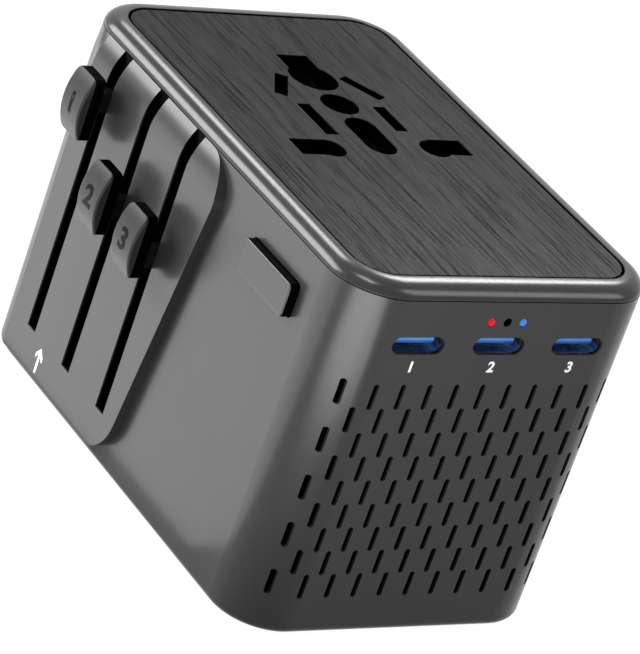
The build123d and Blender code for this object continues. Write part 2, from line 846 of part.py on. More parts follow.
def fan_frame():
    """Square frame with a round bore, four struts and the motor cup behind."""
    face = Plane((0, fan_front, fan_centre_z), x_dir=(1, 0, 0), z_dir=(0, -1, 0))
    frame = extrude(face * RectangleRounded(fan_size, fan_size, fan_corner), -fan_depth)
    frame -= extrude(face * Circle(fan_bore), -fan_depth)
    rear = Plane((0, fan_back, fan_centre_z), x_dir=(1, 0, 0), z_dir=(0, -1, 0))
    reach = 2 * fan_bore + fan_strut
    cross = Rectangle(reach, fan_strut, rotation=45) + Rectangle(reach, fan_strut, rotation=-45)
    frame += extrude(rear * (cross + Circle(fan_hub)), fan_strut_depth)
    frame -= extrude(rear * Circle(spindle_radius), fan_strut_depth)
    return frame


def fan_rotor():
    """Cup with pitched blades; it turns on the spindle."""
    cup_front = fan_front + fan_cup_gap
    cup_back = fan_back - fan_strut_depth - fan_cup_gap
    cup = bar_y(0, fan_centre_z, (cup_front, cup_back), rotor_hub)
    cup -= bar_y(0, fan_centre_z, (cup_front + rotor_wall, cup_back + overrun), rotor_hub - rotor_wall)
    cup += bar_y(0, fan_centre_z, (cup_front, cup_back), 2 * spindle_radius + rotor_wall)
    middle = (cup_front + cup_back) / 2
    root = rotor_hub - rotor_wall / 2
    for number in range(blade_count):
        turn = Plane((0, middle, fan_centre_z)) * Rot(0, number * 360 / blade_count, 0)
        section = Pos(0, 0, root) * Rectangle(blade_chord, blade_thickness, rotation=blade_angle)
        cup += turn * extrude(section, rotor_radius - root)
    cup -= bar_y(0, fan_centre_z, (cup_front + rotor_wall, cup_back + overrun), spindle_radius + spindle_gap)
    return cup


def fan_spindle():
    start = fan_front + fan_cup_gap + rotor_wall + spindle_gap
    return bar_y(0, fan_centre_z, (start, fan_back), spindle_radius)


def main_board():
    y = (main_board_front, main_board_front + main_board_length)
    return block((main_board_x, main_board_x + board_thickness), y,
                 (plate_thickness, plate_thickness + main_board_height))


def capacitors():
    """Two cans with the rolled groove near the top."""
    x = main_board_x - part_gap - capacitor_radius
    cans = []
    for number in range(2):
        y = capacitor_y + number * capacitor_pitch
        can = post(x, y, (capacitor_base, capacitor_base + capacitor_height), capacitor_radius)
        groove_z = span(capacitor_base + capacitor_height - capacitor_radius / 2, capacitor_groove)
        groove = post(x, y, groove_z, capacitor_radius + overrun)
        cans.append(can - (groove - post(x, y, groove_z, capacitor_radius - capacitor_groove)))
    return cans


def heatsink():
    """Extruded sink: a back plate with upright fins."""
    x = (main_board_x - part_gap - sink_width, main_board_x - part_gap)
    y = (sink_front, sink_front + sink_length)
    z = (sink_base, sink_base + sink_height)
    body = block(x, (y[0], y[0] + sink_back), z)
    step = (sink_width - sink_fin) / (sink_fins - 1)
    for number in range(sink_fins):
        start = x[0] + number * step
        body += block((start, start + sink_fin), y, z)
    return body


def transistors():
    x = span(main_board_x - part_gap - sink_width / 2, transistor_width)
    y = (sink_front - transistor_thickness, sink_front)
    return [block(x, y, span(sink_base + sink_height / 2 + step * transistor_pitch / 2, transistor_height))
            for step in (-1, 1)]


def relay():
    x = (main_board_x - relay_width, main_board_x)
    return block(x, (relay_front, relay_front + relay_length), (relay_base, relay_base + relay_height))


def fuse_x():
    return main_board_x - part_gap - clip_wall - fuse_radius


def fuse():
    """Glass tube with metal end caps."""
    y = (fuse_front, fuse_front + fuse_length)
    return bar_y(fuse_x(), fuse_height, y, fuse_radius - fuse_cap_wall)


def fuse_caps():
    ends = ((fuse_front, fuse_front + fuse_cap), (fuse_front + fuse_length - fuse_cap,
                                                fuse_front + fuse_length))
    return [bar_y(fuse_x(), fuse_height, y, fuse_radius)
            - bar_y(fuse_x(), fuse_height, (y[0] - overrun, y[1] + overrun), fuse_radius - fuse_cap_wall)
            for y in ends]


def fuse_clips():
    """Two open clips that carry the fuse on the board."""
    clips = []
    grip = fuse_radius + clip_wall
    for y in (fuse_front + fuse_cap / 2, fuse_front + fuse_length - fuse_cap / 2):
        reach = span(y, clip_length)
        clip = bar_y(fuse_x(), fuse_height, reach, grip)
        clip += block((fuse_x(), main_board_x), reach, span(fuse_height, fuse_radius))
        clip -= bar_y(fuse_x(), fuse_height, (reach[0] - overrun, reach[1] + overrun), fuse_radius)
        clip -= block((fuse_x() - 2 * grip, fuse_x() - fuse_radius / 2), (reach[0] - overrun,
                      reach[1] + overrun), span(fuse_height, 2 * fuse_radius))
        clips.append(clip)
    return clips


def filter_board_x():
    start = inner_left + part_gap
    return (start, start + board_thickness)


def filter_board():
    y = (filter_board_front, filter_board_front + filter_board_length)
    return block(filter_board_x(), y, (plate_thickness, plate_thickness + filter_board_height))


def transformer_core():
    """Square frame core with two windows."""
    x = (filter_board_x()[1], filter_board_x()[1] + core_width)
    y = (core_front, core_front + core_depth)
    z = (core_base, core_base + core_height)
    body = block(x, y, z)
    gap = (core_height - 3 * core_leg) / 2
    for number in range(2):
        low = z[0] + core_leg + number * (gap + core_leg)
        body -= block((x[0] + core_leg, x[1] - core_leg), (y[0] - overrun, y[1] + overrun), (low, low + gap))
    return body


def transformer_coil():
    """Winding round the middle leg, filling both windows."""
    x = (filter_board_x()[1] + core_leg + coil_wall, filter_board_x()[1] + core_width - core_leg - coil_wall)
    gap = (core_height - 3 * core_leg) / 2
    middle = core_base + core_height / 2
    y = span(core_front + core_depth / 2, core_depth + core_leg)
    coil = block(x, y, span(middle, 2 * gap + core_leg - 2 * coil_wall))
    leg = block((x[0] - overrun, x[1] + overrun), (core_front - coil_wall, core_front + core_depth + coil_wall),
                span(middle, core_leg + 2 * coil_wall))
    return coil - leg


def choke():
    """Ring core with its winding, lying on the board."""
    x = (filter_board_x()[1], filter_board_x()[1] + choke_height)
    ring = bar_x(choke_y, choke_z, x, choke_radius)
    ring = chamfer(ring.edges().filter_by(GeomType.CIRCLE), choke_height / 5)
    return ring - bar_x(choke_y, choke_z, (x[0] - overrun, x[1] + overrun), choke_bore)


line_contact, neutral_contact, earth_contacts = contacts()
nodes = {
    "main_case": main_case(),
    "pin_face_plate": pin_face_plate(),
    "plate_screws": plate_screws(),
    "top_bezel": top_bezel(),
    "socket_panel": socket_panel(),
    "socket_block": socket_block(),
    "line_contact": line_contact,
    "neutral_contact": neutral_contact,
    "earth_contacts": earth_contacts,
    "guide_frame": guide_frame(),
    "eu_carriage": eu_carriage(),
    "eu_knob": knob("eu"),
    "eu_pins": eu_pins(),
    "uk_carriage": uk_carriage(),
    "uk_knob": knob("uk"),
    "uk_pins": uk_pins(),
    "uk_earth_pin": uk_earth_pin(),
    "us_carriage": us_carriage(),
    "us_knob": knob("us"),
    "us_swivel_left": swivel(-1),
    "us_swivel_right": swivel(1),
    "us_blade_left": blade(-1),
    "us_blade_right": blade(1),
    "mode_button": mode_button(),
    "tact_switch": tact_switch(),
    "switch_board": switch_board(),
    "port_board": port_board(),
    "port_shells": port_shells(),
    "port_tongues": port_tongues(),
    "light_board": light_board(),
    "light_red": light_pipe(-1),
    "light_dark": light_pipe(0),
    "light_blue": light_pipe(1),
    "fan_frame": fan_frame(),
    "fan_rotor": fan_rotor(),
    "fan_spindle": fan_spindle(),
    "main_board": main_board(),
    "capacitors": capacitors(),
    "heatsink": heatsink(),
    "transistors": transistors(),
    "relay": relay(),
    "fuse": fuse(),
    "fuse_caps": fuse_caps(),
    "fuse_clips": fuse_clips(),
    "filter_board": filter_board(),
    "transformer_core": transformer_core(),
    "transformer_coil": transformer_coil(),
    "choke": choke(),
}
for name, shape in nodes.items():
    solids = shape if isinstance(shape, list) else shape.solids()
    piece = solids[0] if len(solids) == 1 else Compound(children=list(solids))
    piece.label = name
    export_step(piece, "parts/" + name + ".step")
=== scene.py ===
import json
import math

import bmesh
import bpy
from mathutils import Matrix, Vector

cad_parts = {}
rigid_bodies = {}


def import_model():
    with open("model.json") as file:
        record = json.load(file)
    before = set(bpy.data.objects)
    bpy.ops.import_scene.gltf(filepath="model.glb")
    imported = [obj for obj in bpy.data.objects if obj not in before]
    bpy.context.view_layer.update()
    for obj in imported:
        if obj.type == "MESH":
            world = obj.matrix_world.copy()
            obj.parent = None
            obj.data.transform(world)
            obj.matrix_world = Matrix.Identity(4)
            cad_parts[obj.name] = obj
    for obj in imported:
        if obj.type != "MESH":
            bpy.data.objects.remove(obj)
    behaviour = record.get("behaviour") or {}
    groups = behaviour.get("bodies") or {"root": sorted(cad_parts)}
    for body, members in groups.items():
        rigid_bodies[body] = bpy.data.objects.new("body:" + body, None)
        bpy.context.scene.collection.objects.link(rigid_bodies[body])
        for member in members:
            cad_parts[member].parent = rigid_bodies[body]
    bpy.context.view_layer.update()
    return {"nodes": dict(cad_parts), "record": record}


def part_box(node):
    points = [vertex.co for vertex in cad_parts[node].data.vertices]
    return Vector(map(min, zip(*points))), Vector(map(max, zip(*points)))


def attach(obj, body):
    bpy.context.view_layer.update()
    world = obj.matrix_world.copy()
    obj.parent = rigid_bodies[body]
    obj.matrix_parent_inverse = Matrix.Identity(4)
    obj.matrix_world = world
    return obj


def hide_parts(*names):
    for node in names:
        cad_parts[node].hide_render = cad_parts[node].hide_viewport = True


for old in list(bpy.data.objects):
    bpy.data.objects.remove(old)

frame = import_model()
nodes = frame["nodes"]
MM = 0.001

# plan of the case and of the recess for the panel: half sizes and corner radii
CASE_HALF, CASE_CORNER = (25.65 * MM, 40.3 * MM), 8.6 * MM
RECESS_HALF, RECESS_CORNER = (22.65 * MM, 37.0 * MM), 5.35 * MM
# heights of the bezel's seam, its rim and the deck under the panel
SEAM_Z, RIM_Z, DECK_Z = 53.4 * MM, 55.4 * MM, 54.4 * MM
# places of the three slider slots along Y, in mm, and of the three ports along X, in mm
SLOT_Y = (25.7, 14.7, 3.7)
PORT_X = (-13.3, 0.0, 13.3)


def new_material(name):
    mat = bpy.data.materials.new(name)
    mat.use_nodes = True
    tree = mat.node_tree
    tree.nodes.clear()
    out = tree.nodes.new("ShaderNodeOutputMaterial")
    shader = tree.nodes.new("ShaderNodeBsdfPrincipled")
    tree.links.new(shader.outputs["BSDF"], out.inputs["Surface"])
    coord = tree.nodes.new("ShaderNodeTexCoord")
    return mat, tree, shader, coord


def mapped(tree, coord, scale):
    node = tree.nodes.new("ShaderNodeMapping")
    node.inputs["Scale"].default_value = scale
    tree.links.new(coord.outputs["Object"], node.inputs["Vector"])
    return node.outputs["Vector"]


def noise(tree, vector, scale, detail=3.0, rough=0.5):
    node = tree.nodes.new("ShaderNodeTexNoise")
    node.inputs["Scale"].default_value = scale
    node.inputs["Detail"].default_value = detail
    node.inputs["Roughness"].default_value = rough
    tree.links.new(vector, node.inputs["Vector"])
    return node.outputs["Fac"]


def ramp(tree, fac, low, high, a=0.3, b=0.7):
    """Colour ramp between two colours, or two greys where numbers are given."""
    node = tree.nodes.new("ShaderNodeValToRGB")
    tree.links.new(fac, node.inputs["Fac"])
    ends = []
    for value in (low, high):
        ends.append((value, value, value, 1.0) if isinstance(value, float) else (*value, 1.0))
    node.color_ramp.elements[0].position, node.color_ramp.elements[1].position = a, b
    node.color_ramp.elements[0].color, node.color_ramp.elements[1].color = ends
    return node.outputs["Color"]


def bump(tree, fac, shader, strength, distance):
    node = tree.nodes.new("ShaderNodeBump")
    node.inputs["Strength"].default_value = strength
    node.inputs["Distance"].default_value = distance
    tree.links.new(fac, node.inputs["Height"])
    tree.links.new(node.outputs["Normal"], shader.inputs["Normal"])


def calc(tree, operation, *values):
    """Math node fed with sockets and plain numbers."""
    node = tree.nodes.new("ShaderNodeMath")
    node.operation = operation
    for socket, value in zip(node.inputs, values):
        if isinstance(value, (int, float)):
            socket.default_value = value
        else:
            tree.links.new(value, socket)
    return node.outputs[0]


def skin_depth(tree, x, y, half, corner):
    """Distance outside a rounded rectangle, negative inside it."""
    qx = calc(tree, "SUBTRACT", calc(tree, "ABSOLUTE", x), half[0] - corner)
    qy = calc(tree, "SUBTRACT", calc(tree, "ABSOLUTE", y), half[1] - corner)
    px, py = calc(tree, "MAXIMUM", qx, 0.0), calc(tree, "MAXIMUM", qy, 0.0)
    out = calc(tree, "SQRT", calc(tree, "ADD", calc(tree, "MULTIPLY", px, px), calc(tree, "MULTIPLY", py, py)))
    inner = calc(tree, "MINIMUM", calc(tree, "MAXIMUM", qx, qy), 0.0)
    return calc(tree, "SUBTRACT", calc(tree, "ADD", out, inner), corner)


def case_shade_mask(tree, x, y, z):
    """Painted shade mask: walls of the openings, under the outer skin, and of the slider slots, painted dark
    where the light dies away.
    """
    skin, foot_z = 0.4 * MM, 1.5 * MM
    slot_half, slot_foot_z = 1.21 * MM, 8.1 * MM
    slot_middle_x, slot_half_x = -13.0 * MM, 13.9 * MM
    depth = skin_depth(tree, x, y, CASE_HALF, CASE_CORNER)
    inner = calc(tree, "MULTIPLY", calc(tree, "LESS_THAN", depth, -skin), calc(tree, "GREATER_THAN", z, foot_z))
    # painted shade fills the three slider slots
    first, second, third = (calc(tree, "COMPARE", y, centre * MM, slot_half) for centre in SLOT_Y)
    slot_shade = calc(tree, "MAXIMUM", calc(tree, "MAXIMUM", first, second), third)
    slot_shade = calc(tree, "MULTIPLY", slot_shade, calc(tree, "GREATER_THAN", z, slot_foot_z))
    slot_shade = calc(tree, "MULTIPLY", slot_shade, calc(tree, "COMPARE", x, slot_middle_x, slot_half_x))
    return calc(tree, "MAXIMUM", inner, slot_shade)


def bezel_shade_mask(tree, x, y, z):
    """Painted shade mask for the recess round the panel, below the top of its wall, which the mask takes in."""
    wall, top_z = 0.02 * MM, 55.24 * MM
    half = (RECESS_HALF[0] + wall, RECESS_HALF[1] + wall)
    depth = skin_depth(tree, x, y, half, RECESS_CORNER + wall)
    return calc(tree, "MULTIPLY", calc(tree, "LESS_THAN", depth, 0.0), calc(tree, "LESS_THAN", z, top_z))


def panel_shade_mask(tree, x, y, z):
    """Painted shade mask for the walls of the socket's holes and the plate's edge, just under its face."""
    return calc(tree, "LESS_THAN", z, 55.16 * MM)


def knob_side_shade_mask(tree, x, y, z):
    """Painted shade mask for the sides of the knobs, behind the crowned end."""
    return calc(tree, "GREATER_THAN", x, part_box("eu_knob")[0].x + 1.36 * MM)


def button_side_shade_mask(tree, x, y, z):
    """Painted shade mask for the sides of the mode button, behind its face."""
    return calc(tree, "GREATER_THAN", x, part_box("mode_button")[0].x + 0.12 * MM)


def paint_hollow_shade(tree, shader, coord, shade_mask, level=0.03):
    """Painted shade: colour and gloss fall off inside the hollows that the mask takes in."""
    split = tree.nodes.new("ShaderNodeSeparateXYZ")
    tree.links.new(coord.outputs["Object"], split.inputs["Vector"])
    # painted shade: full colour outside the mask, down to level inside it
    keep = ramp(tree, shade_mask(tree, *split.outputs), 1.0, level, 0.0, 1.0)
    blend = tree.nodes.new("ShaderNodeVectorMath")
    blend.operation = "MULTIPLY"
    tree.links.new(shader.inputs["Base Color"].links[0].from_socket, blend.inputs[0])
    tree.links.new(keep, blend.inputs[1])
    tree.links.new(blend.outputs[0], shader.inputs["Base Color"])
    gloss = shader.inputs["Specular IOR Level"].default_value
    tree.links.new(calc(tree, "MULTIPLY", keep, gloss), shader.inputs["Specular IOR Level"])


def plastic(name, low, high, rough=(0.36, 0.46), grain=2600.0, depth=0.012, specular=0.5, shade_mask=None):
    """Moulded plastic: faint mottling, fine grain in the gloss and, where depth in mm isn't 0, in the surface;
    painted shade inside the shade mask, where one is given.
    """
    mat, tree, shader, coord = new_material(name)
    plain = mapped(tree, coord, (1, 1, 1))
    tree.links.new(ramp(tree, noise(tree, plain, 140.0, 4.0), low, high), shader.inputs["Base Color"])
    fine = noise(tree, plain, grain, 2.0)
    tree.links.new(ramp(tree, fine, *rough), shader.inputs["Roughness"])
    shader.inputs["Specular IOR Level"].default_value = specular
    if depth:
        bump(tree, fine, shader, 0.5, depth * MM)
    # painted shade inside the mask's hollows
    if shade_mask:
        paint_hollow_shade(tree, shader, coord, shade_mask)
    return mat


def metal(name, low, high, rough=(0.18, 0.3), grain=900.0, along=(1, 1, 0.05)):
    """Plated or drawn metal, with fine draw marks along one way."""
    mat, tree, shader, coord = new_material(name)
    drawn = mapped(tree, coord, along)
    marks = noise(tree, drawn, grain, 3.0)
    tree.links.new(ramp(tree, marks, low, high), shader.inputs["Base Color"])
    tree.links.new(ramp(tree, marks, *rough), shader.inputs["Roughness"])
    shader.inputs["Metallic"].default_value = 1.0
    bump(tree, marks, shader, 0.25, 0.004 * MM)
    return mat


def brushed_panel():
    """Dark anodised plate: short dark streaks along Y over fine brush lines, and painted shade in its holes and
    on its edge.
    """
    mat, tree, shader, coord = new_material("brushed_panel")
    streak = noise(tree, mapped(tree, coord, (1, 0.018, 1)), 4800.0, 3.0, 0.6)
    fine = noise(tree, mapped(tree, coord, (1, 0.012, 1)), 9000.0, 3.0, 0.6)
    base = calc(tree, "MULTIPLY_ADD", fine, 0.034, 0.045)
    cut = ramp(tree, streak, 0.1, 1.0, 0.38, 0.5)
    tree.links.new(calc(tree, "MULTIPLY", base, cut), shader.inputs["Base Color"])
    tree.links.new(ramp(tree, streak, 0.4, 0.3, 0.3, 0.6), shader.inputs["Roughness"])
    shader.inputs["Specular Tint"].default_value = (0.15, 0.15, 0.15, 1)
    shader.inputs["Metallic"].default_value = 0.8
    bump(tree, fine, shader, 0.2, 0.002 * MM)
    # painted shade in the socket holes and on the plate's edge
    paint_hollow_shade(tree, shader, coord, panel_shade_mask)
    return mat


def lamp_lens(name, colour, glow):
    """Lit lens: colour mottled between a deeper and a full tone, glowing with it, glossy skin."""
    mat, tree, shader, coord = new_material(name)
    cloud = noise(tree, mapped(tree, coord, (1, 1, 1)), 1800.0, 2.0)
    dim = tuple(c * 0.75 for c in colour)
    tint = ramp(tree, cloud, dim, colour)
    tree.links.new(tint, shader.inputs["Base Color"])
    tree.links.new(tint, shader.inputs["Emission Color"])
    shader.inputs["Emission Strength"].default_value = glow
    shader.inputs["Roughness"].default_value = 0.2
    shader.inputs["Specular IOR Level"].default_value = 0.15
    return mat


def tongue_blue():
    """Blue moulding with painted light: lighter along its upper part, and a faint painted glow."""
    mat, tree, shader, coord = new_material("tongue_blue")
    split = tree.nodes.new("ShaderNodeSeparateXYZ")
    tree.links.new(coord.outputs["Object"], split.inputs["Vector"])
    # painted light: the tint grows lighter with height
    level = tree.nodes.new("ShaderNodeMapRange")
    low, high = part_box("port_tongues")
    level.inputs["From Min"].default_value = low.z + 0.25 * (high.z - low.z)
    level.inputs["From Max"].default_value = high.z
    tree.links.new(split.outputs["Z"], level.inputs["Value"])
    tint = ramp(tree, level.outputs["Result"], (0.012, 0.05, 0.2), (0.06, 0.3, 0.9), 0.1, 0.9)
    tree.links.new(tint, shader.inputs["Base Color"])
    # painted glow: the tint also lights the moulding itself
    tree.links.new(tint, shader.inputs["Emission Color"])
    shader.inputs["Emission Strength"].default_value = 0.25
    rough = noise(tree, mapped(tree, coord, (1, 1, 1)), 2500.0, 2.0)
    tree.links.new(ramp(tree, rough, 0.25, 0.4), shader.inputs["Roughness"])
    return mat


def board():
    """Solder mask with faint traces."""
    mat, tree, shader, coord = new_material("board_green")
    brick = tree.nodes.new("ShaderNodeTexBrick")
    tree.links.new(mapped(tree, coord, (1, 1, 1)), brick.inputs["Vector"])
    brick.inputs["Scale"].default_value = 260.0
    brick.inputs["Mortar Size"].default_value = 0.05
    brick.inputs["Color1"].default_value = (0.012, 0.09, 0.035, 1)
    brick.inputs["Color2"].default_value = (0.015, 0.11, 0.04, 1)
    brick.inputs["Mortar"].default_value = (0.03, 0.17, 0.07, 1)
    tree.links.new(brick.outputs["Color"], shader.inputs["Base Color"])
    grain = noise(tree, mapped(tree, coord, (1, 1, 1)), 3000.0, 2.0)
    tree.links.new(ramp(tree, grain, 0.3, 0.45), shader.inputs["Roughness"])
    return mat


def winding():
    """Enamelled wire: close bands of turns."""
    mat, tree, shader, coord = new_material("copper_winding")
    wave = tree.nodes.new("ShaderNodeTexWave")
    wave.bands_direction = "Z"
    tree.links.new(mapped(tree, coord, (1, 1, 1)), wave.inputs["Vector"])
    wave.inputs["Scale"].default_value = 500.0
    wave.inputs["Distortion"].default_value = 0.6
    tint = ramp(tree, wave.outputs["Fac"], (0.16, 0.045, 0.015), (0.62, 0.24, 0.09), 0.1, 0.8)
    tree.links.new(tint, shader.inputs["Base Color"])
    shader.inputs["Metallic"].default_value = 0.8
    shader.inputs["Roughness"].default_value = 0.35
    bump(tree, wave.outputs["Fac"], shader, 0.6, 0.05 * MM)
    return mat


def glass():
    """Clear tube of the fuse."""
    mat, tree, shader, coord = new_material("fuse_glass")
    shader.inputs["Transmission Weight"].default_value = 1.0
    film = noise(tree, mapped(tree, coord, (1, 1, 1)), 600.0, 2.0)
    tree.links.new(ramp(tree, film, 0.02, 0.08), shader.inputs["Roughness"])
    tree.links.new(ramp(tree, film, (0.85, 0.92, 0.92), (0.95, 1.0, 1.0)), shader.inputs["Base Color"])
    return mat


materials = {
    # case plastic: painted shade in its openings and slider slots
    "case_plastic": plastic("case_plastic", 0.028, 0.031, (0.25, 0.27), 2600.0, 0.0, 0.3, case_shade_mask),
    # bezel plastic: painted shade in the recess round the panel
    "bezel_plastic": plastic("bezel_plastic", 0.02, 0.024, (0.2, 0.24), 1500.0, 0.0, 0.3, bezel_shade_mask),
    "brushed_panel": brushed_panel(),
    "inner_plastic": plastic("inner_plastic", 0.003, 0.005, (0.5, 0.6), specular=0.05),
    # knob plastic: painted shade on the knobs' sides
    "knob_plastic": plastic("knob_plastic", 0.021, 0.024, (0.34, 0.38), 2600.0, 0.0, 0.14, knob_side_shade_mask),
    "pin_metal": metal("pin_metal", (0.62, 0.6, 0.57), (0.8, 0.79, 0.76)),
    "contact_brass": metal("contact_brass", (0.55, 0.4, 0.16), (0.78, 0.6, 0.3)),
    "screw_steel": metal("screw_steel", 0.4, 0.58, (0.25, 0.4), 1500.0, (1, 1, 1)),
    "board_green": board(),
    "shell_steel": metal("shell_steel", 0.55, 0.75, (0.15, 0.28), 1200.0, (0.05, 1, 1)),
    "tongue_blue": tongue_blue(),
    "light_red": lamp_lens("light_red", (0.8, 0.001, 0.002), 0.7),
    "light_dark": plastic("light_dark", 0.001, 0.0015, (0.4, 0.5), specular=0.0),
    "light_blue": lamp_lens("light_blue", (0.03, 0.18, 0.62), 0.8),
    "fan_black": plastic("fan_black", 0.008, 0.012, (0.4, 0.5), specular=0.2),
    "sink_aluminium": metal("sink_aluminium", 0.55, 0.7, (0.3, 0.42), 900.0, (1, 1, 0.04)),
    "component_black": plastic("component_black", 0.016, 0.024, (0.35, 0.5), 4000.0, 0.01),
    "relay_blue": plastic("relay_blue", (0.012, 0.05, 0.2), (0.018, 0.065, 0.25), (0.25, 0.35)),
    "fuse_glass": glass(),
    "core_ferrite": plastic("core_ferrite", 0.03, 0.055, (0.5, 0.65), 1800.0, 0.03),
    "copper_winding": winding(),
}
# copy of the case plastic with painted shade on the button's sides
button_plastic_side_shade = plastic("button_plastic_side_shade", 0.028, 0.031, (0.25, 0.27), 2600.0, 0.0, 0.3, button_side_shade_mask)
slot_of = {part["node"]: part["material_slot"] for part in frame["record"]["subparts"]}
for node, obj in nodes.items():
    obj.data.materials.clear()
    obj.data.materials.append(button_plastic_side_shade if node == "mode_button" else materials[slot_of[node]])


def piece(name, bm, slot, body, smooth=True, mat=None):
    """New object that rides a body; smooth None keeps each face's own shading."""
    mesh = bpy.data.meshes.new(name)
    bmesh.ops.recalc_face_normals(bm, faces=bm.faces)
    bm.to_mesh(mesh)
    bm.free()
    for face in mesh.polygons:
        face.use_smooth = face.use_smooth if smooth is None else smooth
    mesh.materials.append(mat or materials[slot])
    obj = bpy.data.objects.new(name, mesh)
    bpy.context.scene.collection.objects.link(obj)
    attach(obj, body)
    return obj


def lens(name, x, z, y, radius, rise, slot):
    """Domed lens on the end of its light rod."""
    bm = bmesh.new()
    rings = 7
    sides = 28
    loops = []
    for i in range(rings):
        t = i / rings * math.pi / 2
        r, h = radius * math.cos(t), rise * math.sin(t)
        loops.append([bm.verts.new((x + r * math.cos(a), y - h, z + r * math.sin(a)))
                      for a in (2 * math.pi * k / sides for k in range(sides))])
    tip = bm.verts.new((x, y - rise, z))
    for lower, upper in zip(loops, loops[1:]):
        for k in range(sides):
            n = (k + 1) % sides
            bm.faces.new((lower[k], lower[n], upper[n], upper[k]))
    for k in range(sides):
        bm.faces.new((loops[-1][k], loops[-1][(k + 1) % sides], tip))
    bm.faces.new(list(reversed(loops[0])))
    return piece(name, bm, slot, "case")


def rounded_loop(half, corner, steps=14, runs=24):
    """Closed outline of a rounded rectangle, with the same count of points for any size.

    Each quarter is an arc and then the straight run up to the next arc's start.
    """
    points = []
    for quarter, (sx, sy) in enumerate(((1, 1), (-1, 1), (-1, -1), (1, -1))):
        cx, cy = sx * (half[0] - corner), sy * (half[1] - corner)
        arc = [(cx + corner * math.cos(math.radians(90 * (quarter + k / steps))),
                cy + corner * math.sin(math.radians(90 * (quarter + k / steps)))) for k in range(steps + 1)]
        nx, ny = ((-1, 1), (-1, -1), (1, -1), (1, 1))[quarter]
        if quarter % 2 == 0:
            start = (nx * (half[0] - corner), ny * half[1])
        else:
            start = (nx * half[0], ny * (half[1] - corner))
        points += arc
        ax, ay = arc[-1]
        points += [(ax + (start[0] - ax) * k / runs, ay + (start[1] - ay) * k / runs) for k in range(1, runs)]
    return points


def rolled_bezel():
    """Bezel whose shoulder rolls over on a flat ellipse from the panel's gap to the seam."""
    bm = bmesh.new()
    bm.from_mesh(nodes["top_bezel"].data)
    # the CAD's own rim goes, and its deck and skirt stay
    near, deck_top = 0.01 * MM, 54.52 * MM
    rim_faces = []
    for face in bm.faces:
        at = face.calc_center_median()
        outside = abs(at.x) > RECESS_HALF[0] + near or abs(at.y) > RECESS_HALF[1] + near
        if at.z > SEAM_Z - near and (at.z > deck_top or outside):
            rim_faces.append(face)
    bmesh.ops.delete(bm, geom=rim_faces, context="FACES")
    for face in bm.faces:
        face.smooth = False
    outer = rounded_loop(CASE_HALF, CASE_CORNER)
    inner = rounded_loop(RECESS_HALF, RECESS_CORNER)
    # points of the section: share of the way from the outer outline to the inner one, and height
    groove, groove_height = 0.035, 0.16 * MM
    crest, edge_drop, steps = 0.985, 0.04 * MM, 24
    rise = RIM_Z - SEAM_Z
    section = [(1.0, SEAM_Z), (groove, SEAM_Z), (groove, SEAM_Z + groove_height)]
    low = math.asin(groove_height / rise)
    for k in range(steps + 1):
        phi = low + (math.pi / 2 - low) * k / steps
        section.append((crest * (1 - math.cos(phi)), SEAM_Z + rise * math.sin(phi)))
    section += [(1.0, RIM_Z - edge_drop), (1.0, DECK_Z)]
    loops = []
    for share, height in section:
        loops.append([bm.verts.new((ox + (ix - ox) * share, oy + (iy - oy) * share, height))
                      for (ox, oy), (ix, iy) in zip(outer, inner)])
    count = len(outer)
    for lower, upper in zip(loops, loops[1:]):
        for k in range(count):
            n = (k + 1) % count
            bm.faces.new((lower[k], lower[n], upper[n], upper[k])).smooth = True
    obj = piece("bezel_shell", bm, "bezel_plastic", "case", None)
    obj.data.set_sharp_from_angle(angle=math.radians(32))
    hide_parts("top_bezel")


def fitted_case():
    """Case shell whose slider pad dies into the back corner.

    What stands past the corner's own arc shrinks onto it, all of it where the sine of the angle round
    the arc reaches fade. Points of the back wall slide along it to the arc's end.
    """
    mesh = nodes["main_case"].data.copy()
    cx, cy = -17.05 * MM, 31.7 * MM
    fade, back_wall = 0.57, 40.25 * MM
    for v in mesh.vertices:
        dx, dy = v.co.x - cx, v.co.y - cy
        reach = math.hypot(dx, dy)
        if dx < 0 and v.co.y > back_wall:
            v.co.x = cx
        elif dx < 0 and dy > 0 and reach > CASE_CORNER:
            keep = max(0.0, 1.0 - dy / reach / fade)
            scale = (CASE_CORNER + (reach - CASE_CORNER) * keep) / reach
            v.co.x, v.co.y = cx + dx * scale, cy + dy * scale
    mesh.materials.clear()
    mesh.materials.append(materials["case_plastic"])
    obj = bpy.data.objects.new("case_shell", mesh)
    bpy.context.scene.collection.objects.link(obj)
    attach(obj, "case")
    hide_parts("main_case")


front_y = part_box("top_bezel")[0].y
rolled_bezel()
fitted_case()
lens_sink, lens_rise = 0.02 * MM, 0.22 * MM
for node, mark in (("light_red", "lens_red"), ("light_dark", "lens_dark"), ("light_blue", "lens_blue")):
    low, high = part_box(node)
    centre = (low + high) / 2
    lens(mark, centre.x, centre.z, front_y + lens_sink, (high.z - low.z) / 2, lens_rise, node)


def glowing_white_ink():
    """Printed white of the port numerals and the arrow, with a faint painted glow."""
    mat, tree, shader, coord = new_material("mark_ink")
    cloud = noise(tree, mapped(tree, coord, (1, 1, 1)), 3000.0, 2.0)
    tree.links.new(ramp(tree, cloud, 0.82, 0.9), shader.inputs["Base Color"])
    # painted glow on the print
    shader.inputs["Emission Color"].default_value = (1, 1, 1, 1)
    shader.inputs["Emission Strength"].default_value = 0.3
    shader.inputs["Roughness"].default_value = 0.5
    return mat


glowing_ink_mat = glowing_white_ink()
dark_mat = plastic("mark_dark", 0.001, 0.002, (0.4, 0.5), specular=0.05)
ink_stand = 0.005 * MM


